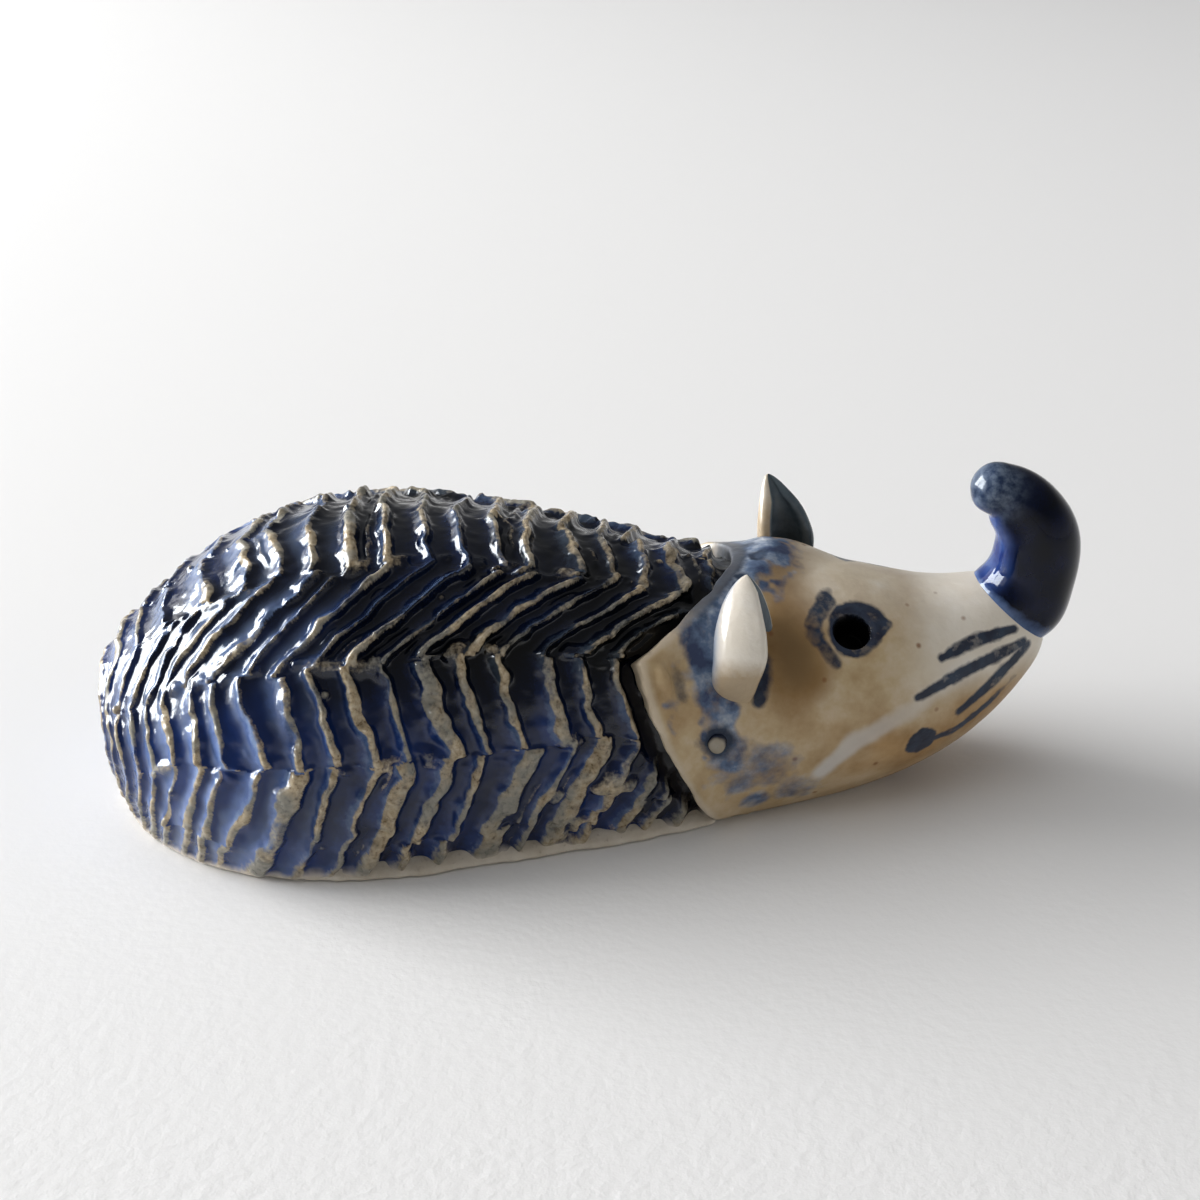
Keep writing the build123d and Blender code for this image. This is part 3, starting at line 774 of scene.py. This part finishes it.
# Partly painted shade of the ears behind the eyes.
head_colour = glaze.mix(glaze.attribute("brown_and_ear_shade"), head_colour, (0.17, 0.105, 0.045))
head_colour = glaze.mix(glaze.times(glaze.attribute("milk"), 0.8), head_colour, (0.62, 0.61, 0.59))
head_colour = glaze.mix(glaze.times(speck, 0.75), head_colour, (0.18, 0.065, 0.02))
wash_edge = glaze.math(glaze.attribute("wash"), glaze.centred(glaze.noise(900, 4), 0.9))
head_colour = glaze.mix(glaze.curve(wash_edge, (0.22, 0.0), (0.85, 0.95)), head_colour, glaze.curve(
    glaze.noise(520, 4), (0.36, (0.020, 0.042, 0.11)), (0.52, (0.090, 0.15, 0.26)),
    (0.68, (0.36, 0.41, 0.48))))
water = glaze.noise(750, 3)
paint_edge = glaze.math(glaze.attribute("paint"), glaze.centred(glaze.noise(2200, 3), 0.5))
head_colour = glaze.mix(glaze.curve(paint_edge, (0.14, 0.0), (0.86, 0.97)), head_colour, glaze.curve(
    water, (0.35, (0.005, 0.012, 0.034)), (0.65, (0.018, 0.036, 0.070))))
head_colour = glaze.mix(glaze.times(glaze.attribute("lip_edge"), 0.45), head_colour, (0.62, 0.57, 0.48))
# Painted shade: near-black inside the eye holes.
head_colour = glaze.mix(glaze.attribute("eye_hole_shade"), head_colour, (0.002, 0.002, 0.002))
head.data.materials.append(glaze.set(
    Base_Color=head_colour, Roughness=glaze.curve(mottle, (0.3, 0.30), (0.7, 0.42)), IOR=1.36,
    Normal=glaze.bump(peel, 0.42, 0.10 * MM)))
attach(head, "root")
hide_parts("head_shell")

# Nose: a tapered roll of clay, curled up and back on itself and luted to the end of the snout.
# It was dipped in cobalt: the near-black on the outside is partly painted shade, and the bright blue inside
# the bend, which faces the window, is partly painted light.
nose_line = np.array([
    (65.84, 12.65, 50.0), (66.98, 14.65, 74.0), (67.30, 16.83, 94.0), (66.96, 18.70, 115.0),
    (65.94, 20.24, 136.0), (64.71, 21.29, 152.0), (64.03, 21.70, 162.0)])
nose_rings, nose_columns, tip_rings = 120, 160, 40
nose_tree = search_tree(["nose_curl"])


def nose_reach(middle, way):
    """Distance from the middle of the nose to its skin."""
    hit = nose_tree.ray_cast(Vector(middle) + Vector(way) * cast_from, -Vector(way))
    return cast_from - hit[3] if hit[0] is not None else np.nan


nose_run = np.linspace(0, 1, nose_rings)
nose_stops = np.linspace(0, 1, len(nose_line))
nose_path = np.stack([np.interp(nose_run, nose_stops, nose_line[:, k]) for k in range(3)], -1)
nose_path = soften(nose_path, 40, 0)
nose_turns = np.linspace(0, 2 * np.pi, nose_columns, endpoint=False)
nose_middles, nose_ways = [], []
for along, high, tilt in nose_path:
    up = np.array([-sin(radians(tilt)), 0, cos(radians(tilt))])
    nose_ways.append(np.cos(nose_turns)[:, None] * up + np.sin(nose_turns)[:, None] * np.array([0, 1, 0]))
    nose_middles.append(tail_mm((along, 0, high))[0])
tip_way = np.array([cos(radians(tilt)), 0, sin(radians(tilt))])
for share in np.linspace(0, 1, tip_rings + 1)[1:]:
    turn = radians(89.7) * share
    nose_ways.append(nose_ways[nose_rings - 1] * cos(turn) + tip_way * sin(turn))
    nose_middles.append(nose_middles[nose_rings - 1])
nose_ways, nose_middles = np.array(nose_ways), np.array(nose_middles)
nose_out = np.array([[nose_reach(m, w) for w in ways] for m, ways in zip(nose_middles, nose_ways)])
nose_out = np.concatenate([nose_out[:, -wrap:], nose_out, nose_out[:, :wrap]], axis=1)
nose_out = soften(soften(fill_gaps(nose_out), 10, 1), 6, 0)[:, wrap:-wrap]
nose_skin = nose_middles[:, None] + nose_ways * nose_out[..., None]
nose_lumps = 0.07 * MM * rough_noise(nose_skin, 91, 3.5 * MM, 2)
nose_skin = nose_skin + nose_ways * nose_lumps[..., None]
nose_skin[0] -= 0.12 * MM * np.array([cos(radians(50)), 0, sin(radians(50))])
nose_along = np.concatenate([nose_run * 0.85, 0.85 + 0.15 * np.linspace(0, 1, tip_rings + 1)[1:]])
# The inside of the bend faces the window: its bright blue is partly painted light, and the near-black on the
# far side partly painted shade.
bend_middle = tail_mm((61.5, 0, 17.0))[0]
to_bend = bend_middle - nose_skin
to_bend /= np.linalg.norm(to_bend, axis=-1, keepdims=True)
inside_bend = ramp((nose_ways * to_bend).sum(-1) + 0.25 * rough_noise(nose_skin, 92, 3 * MM, 2), 0.0, 0.85)
# Pale grey-blue on the side of the tip that faces up, left and forward: partly thinner glaze at the tip,
# partly a painted sheen.
tip_sheen_side = nose_ways @ np.array([-0.75, -0.40, 0.53]) + 0.25 * rough_noise(nose_skin, 93, 2 * MM, 2)
tip_sheen_side = ramp(tip_sheen_side, -0.2, 0.8) * ramp(nose_along, 0.58, 0.86)[:, None]
nose_along = np.broadcast_to(nose_along[:, None], inside_bend.shape)
nose = grid_mesh("nose_curl_roll", nose_skin, {
    "inside_bend": inside_bend, "tip_sheen_side": tip_sheen_side, "nose_along": nose_along}, closed=True)

dipped = Shader("cobalt_glaze")
dip_cloud = dipped.noise(420, 3)
dip_fine = dipped.noise(1500, 3)
shaded_dark_dip = dipped.curve(dip_cloud, (0.35, (0.001, 0.002, 0.006)), (0.7, (0.002, 0.005, 0.024)))
lit_bright_dip = dipped.curve(dip_cloud, (0.35, (0.010, 0.026, 0.14)), (0.7, (0.040, 0.090, 0.27)))
nose_colour = dipped.mix(dipped.attribute("inside_bend"), shaded_dark_dip, lit_bright_dip)
tip_painted_sheen = dipped.times(dipped.attribute("tip_sheen_side"), dipped.curve(dip_fine, (0.3, 0.30), (0.6, 0.65)))
tip_blue = dipped.curve(dip_fine, (0.35, (0.05, 0.085, 0.17)), (0.65, (0.17, 0.22, 0.30)))
nose_colour = dipped.mix(tip_painted_sheen, nose_colour, tip_blue)
seam_share = dipped.math(dipped.attribute("nose_along"), dipped.centred(dip_fine, 0.05))
nose_colour = dipped.mix(dipped.curve(seam_share, (0.0, 0.75), (0.05, 0.0)), nose_colour, (0.10, 0.16, 0.32))
nose.data.materials.append(dipped.set(
    Base_Color=nose_colour, Roughness=0.06, IOR=1.32, Normal=dipped.bump(dip_fine, 0.06, 0.08 * MM)))
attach(nose, "root")
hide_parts("nose_curl")

# Ears: two cupped leaves of clay, each pressed on to the head by its root and open to the front.
# Their backs are pale and shiny, and cobalt lies in the cups.
ear_wall, rim_bow, root_tuck, root_flare, root_back = 0.9 * MM, 0.8 * MM, 1.9 * MM, 0.7, 1.2 * MM
ear_levels, ear_arc, rim_steps = 90, 40, 7
ear_places = (
    ("right", -1, (46.1, -8.0, 13.9), 10.0 * MM, 2.6 * MM, 3.3 * MM, -0.9 * MM, -14.0, 21.0, 0.2 * MM),
    ("left", 1, (50.3, 5.9, 15.2), 8.6 * MM, 2.2 * MM, 2.0 * MM, 0.0, 64.0, 14.0, 1.5 * MM))


def ear_section(half_width, depth, bulge, wall):
    """Closed line round one cross-section of an ear: back, one rim, hollow face and the other rim."""
    swing = np.linspace(-np.pi / 2, np.pi / 2, ear_arc)
    across, out = np.sin(swing), np.cos(swing)
    back = np.stack([-depth * out, half_width * across + bulge * out], -1)
    face = np.stack([-(depth - wall) * out, (half_width - wall) * across + bulge * out], -1)[::-1]
    round_rim = np.linspace(0, np.pi, rim_steps + 2)[1:-1]
    middle, radius = half_width - wall / 2, wall / 2
    rim = np.stack([radius * np.sin(round_rim), middle + radius * np.cos(round_rim)], -1)
    return np.concatenate([back, rim, face, rim[::-1] * [1, -1]])


glaze_ear, ear_cream, ear_peel, ear_mottle, ear_speck = salt_glaze("salt_glazed_ear")
cup_blue = glaze_ear.curve(ear_mottle, (0.3, (0.045, 0.064, 0.082)), (0.7, (0.12, 0.155, 0.18)))
ear_cream = glaze_ear.mix(0.6, ear_cream, (0.84, 0.82, 0.78))
ear_colour = glaze_ear.mix(glaze_ear.times(ear_speck, 0.7), ear_cream, (0.20, 0.09, 0.03))
stain = glaze_ear.math(glaze_ear.attribute("root"), glaze_ear.centred(ear_mottle, 1.2))
ear_colour = glaze_ear.mix(glaze_ear.curve(stain, (0.35, 0.0), (0.85, 0.9)), ear_colour, (0.40, 0.30, 0.18))
edge_mottle = glaze_ear.curve(ear_mottle, (0.35, 0.2), (0.6, 0.9))
edge_share = glaze_ear.times(glaze_ear.attribute("edge_blue"), edge_mottle)
ear_colour = glaze_ear.mix(edge_share, ear_colour, (0.20, 0.28, 0.42))
ear_colour = glaze_ear.mix(glaze_ear.attribute("cup"), ear_colour, cup_blue)
ear_finish = glaze_ear.set(
    Base_Color=ear_colour, Roughness=0.22, Normal=glaze_ear.bump(ear_peel, 0.55, 0.12 * MM))
for word, side, middle, ear_length, half_width, depth, bulge, toe_in, lean, tip_back in ear_places:
    level = -np.cos(np.linspace(0.03, np.pi - 0.03, ear_levels))
    taper = np.where(level < 0, (1 - level**2) ** 0.5, (1 - np.abs(level) ** 1.8) ** 0.72)
    rings = []
    for share, width in zip(level, taper):
        flare = 1 + root_flare * (side > 0) * ramp(-share, -0.1, 0.8)
        wall = min(ear_wall, 0.7 * half_width * width)
        section = ear_section(half_width * width, depth * width * flare, bulge * width, wall)
        rings.append(np.concatenate([section, np.full((len(section), 1), share * ear_length / 2)], axis=1))
    ear_points = np.stack(rings)
    ear_points[..., 0] -= tip_back * (level[:, None] + 1) ** 2 / 2 - rim_bow * (1 - level[:, None] ** 2)
    ear_points[..., 0] -= root_back * (side < 0) * ramp(-level, 0.0, 1.0)[:, None]
    ear_points[..., 1] -= side * root_tuck * ramp(-level, 0.2, 1.0)[:, None]
    turn = -side * radians(toe_in)
    ear_points = ear_points @ np.array([[cos(turn), sin(turn), 0], [-sin(turn), cos(turn), 0], [0, 0, 1]])
    tip = side * radians(lean)
    ear_points = ear_points @ np.array([[1, 0, 0], [0, cos(tip), sin(tip)], [0, -sin(tip), cos(tip)]])
    ear_points = ear_points + tail_mm(middle)[0]
    ear_points += 0.10 * MM * np.stack([rough_noise(ear_points, 95 + k, 2.5 * MM, 2) for k in range(3)], -1)
    cup = np.zeros(ear_points.shape[:2])
    cup[:, ear_arc + (rim_steps // 2 + 1 if side < 0 else -2):2 * ear_arc + rim_steps + rim_steps // 2] = 1
    root = 1 - (ramp(level, -0.7, 0.25) if side < 0 else 0.45 * ramp(level, 0.2, 1.0))
    root = np.broadcast_to(root[:, None], cup.shape)
    edge_blue = np.zeros(cup.shape)
    edge_blue[:, :ear_arc] = ramp(np.linspace(0, 1, ear_arc), 0.24, 0.46) * (side < 0)
    ear = grid_mesh(
        f"ear_{word}_leaf", ear_points, {"cup": cup, "root": root, "edge_blue": edge_blue}, closed=True)
    ear.data.materials.append(ear_finish)
    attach(ear, "root")
    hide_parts(f"ear_{word}")

# Pellet: a small ball of the same clay, pressed on behind the right cheek while it was soft.
# Blue glaze is caught in the ring where it meets the head.
pellet_radius = 0.68 * MM
pellet_rings, pellet_columns = 40, 64
polar = np.linspace(0.02, np.pi - 0.02, pellet_rings)[:, None]
swing = np.linspace(0, 2 * np.pi, pellet_columns, endpoint=False)[None, :]
pellet_ways = np.stack([
    np.sin(polar) * np.cos(swing), -np.cos(polar) + 0 * swing, np.sin(polar) * np.sin(swing)], -1)
pellet_points = pellet_middle + pellet_ways * [1.0, 0.85, 1.05] * pellet_radius
pellet_points += pellet_ways * (0.10 * MM * rough_noise(pellet_points, 99, 0.6 * MM, 2))[..., None]
pellet_sunk = ramp(pellet_ways[..., 1] + 0.25 * rough_noise(pellet_points, 98, 0.5 * MM, 2), -0.75, -0.25)
pellet = grid_mesh("cheek_pellet_ball", pellet_points, {"sunk": pellet_sunk}, closed=True, flip=True)
glaze_pellet, pellet_cream, pellet_peel, _, pellet_speck = salt_glaze("salt_glazed_pellet")
pellet_colour = glaze_pellet.mix(0.7, pellet_cream, (0.20, 0.19, 0.165))
pellet_colour = glaze_pellet.mix(pellet_speck, pellet_colour, (0.20, 0.12, 0.06))
pellet_colour = glaze_pellet.mix(glaze_pellet.attribute("sunk"), pellet_colour, (0.008, 0.013, 0.030))
pellet.data.materials.append(glaze_pellet.set(
    Base_Color=pellet_colour, Roughness=0.25, Normal=glaze_pellet.bump(pellet_peel, 0.25, 0.10 * MM)))
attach(pellet, "root")
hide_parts("cheek_pellet")

# Floor, light and camera: a pale sheet of paper, a broad window to the left and behind, and the
# viewing angle of the photograph.
floor_size = 1.5
floor_mesh = bpy.data.meshes.new("paper")
half = floor_size / 2
floor_corners = [(-half, -half, 0), (half, -half, 0), (half, half, 0), (-half, half, 0)]
floor_mesh.from_pydata(floor_corners, [], [(0, 1, 2, 3)])
floor = bpy.data.objects.new("paper", floor_mesh)
bpy.context.collection.objects.link(floor)
paper = Shader("pale_paper")
paper_place = paper.nodes.new("ShaderNodeTexCoord").outputs["Object"]
to_front = paper.node("ShaderNodeSeparateXYZ", Vector=paper_place).outputs["Y"]
to_front = paper.math(paper.times(to_front, -8.0), 0.15)
paper_grain = paper.times(paper.noise(1000, 3), paper.curve(to_front, (0.0, 0.0), (0.9, 1.0)))
floor.data.materials.append(paper.set(
    Base_Color=(0.80, 0.80, 0.80), Roughness=0.9, Normal=paper.bump(paper_grain, 0.40, 0.30 * MM)))

world = bpy.data.worlds.new("room")
world.use_nodes = True
room = world.node_tree
room_way = room.nodes.new("ShaderNodeTexCoord").outputs["Generated"]
to_window = room.nodes.new("ShaderNodeVectorMath")
to_window.operation = "DOT_PRODUCT"
room.links.new(room_way, to_window.inputs[0])
to_window.inputs[1].default_value = (-0.45, 0.62, 0.64)
room_light = room.nodes.new("ShaderNodeValToRGB")
room.links.new(to_window.outputs["Value"], room_light.inputs["Fac"])
room_light.color_ramp.elements[0].color = (0.15, 0.148, 0.145, 1)
room_light.color_ramp.elements[1].color = (0.26, 0.265, 0.275, 1)
room_height = room.nodes.new("ShaderNodeSeparateXYZ")
room.links.new(room_way, room_height.inputs["Vector"])
pale_wall = room.nodes.new("ShaderNodeValToRGB")
room.links.new(room_height.outputs["Z"], pale_wall.inputs["Fac"])
pale_wall.color_ramp.elements[0].color = (1, 1, 1, 1)
pale_wall.color_ramp.elements[1].color = (0, 0, 0, 1)
pale_wall.color_ramp.elements[1].position = 0.30
room_mix = room.nodes.new("ShaderNodeMix")
room_mix.data_type = "RGBA"
room.links.new(pale_wall.outputs["Color"], room_mix.inputs[0])
room.links.new(room_light.outputs["Color"], room_mix.inputs[6])
room_mix.inputs[7].default_value = (0.60, 0.595, 0.59, 1)
room.links.new(room_mix.outputs[2], room.nodes["Background"].inputs["Color"])
bpy.context.scene.world = world


def window(name, place, aim, size, power, colour, mirrored, lighting=True):
    """Soft rectangular light turned to an aim: whether the glaze mirrors it, and whether it lights."""
    lamp = bpy.data.lights.new(name, "AREA")
    lamp.shape = "RECTANGLE"
    lamp.size, lamp.size_y = size
    lamp.energy = power
    lamp.color = colour
    light = bpy.data.objects.new(name, lamp)
    light.location = place
    light.rotation_euler = (Vector(aim) - Vector(place)).to_track_quat("-Z", "Y").to_euler()
    light.visible_glossy = mirrored
    light.visible_diffuse = lighting
    bpy.context.collection.objects.link(light)


window("window_left", (-0.870, 0.260, 0.285), (0, 0, 0.01), (1.24, 0.52), 4.5, (1.0, 0.99, 0.98), True)
window("window_glow", (-0.862, 0.250, 0.285), (0, 0, 0.01), (0.66, 0.46), 13.8, (1.0, 0.99, 0.98), False)
window("pane_near", (-0.901, 0.078, 0.285), (0, 0, 0.01), (0.34, 0.60), 17.0, (0.90, 0.96, 1.0), True, False)
window("pane_far", (-0.799, 0.422, 0.285), (0, 0, 0.01), (0.34, 0.60), 17.0, (0.90, 0.96, 1.0), True, False)
window("ceiling", (-0.20, 0.02, 0.62), (0, 0, 0), (0.70, 0.70), 1.3, (1.0, 0.99, 0.98), False)
window("white_wall", (1.10, -0.35, 0.30), (0.02, 0, 0.01), (1.00, 0.55), 2.0, (1.0, 0.97, 0.93), False)

view_azimuth, view_elevation, view_distance = radians(-3), radians(27), 0.130
view_target = Vector((tail_x + 36.1 * MM, 0, 13.7 * MM))
photo_focal_pixels, photo_pixels, sensor = 1820, 1200, 36
view_level = cos(view_elevation)
away = Vector((sin(view_azimuth) * view_level, -cos(view_azimuth) * view_level, sin(view_elevation)))
camera_data = bpy.data.cameras.new("camera")
camera_data.sensor_width = sensor
camera_data.lens = photo_focal_pixels / photo_pixels * sensor
camera_data.clip_start = 0.005
camera = bpy.data.objects.new("camera", camera_data)
camera.location = view_target + away * view_distance
camera.rotation_euler = away.to_track_quat("Z", "Y").to_euler()
bpy.context.collection.objects.link(camera)
bpy.context.scene.camera = camera
bpy.context.scene.view_settings.view_transform = "Standard"
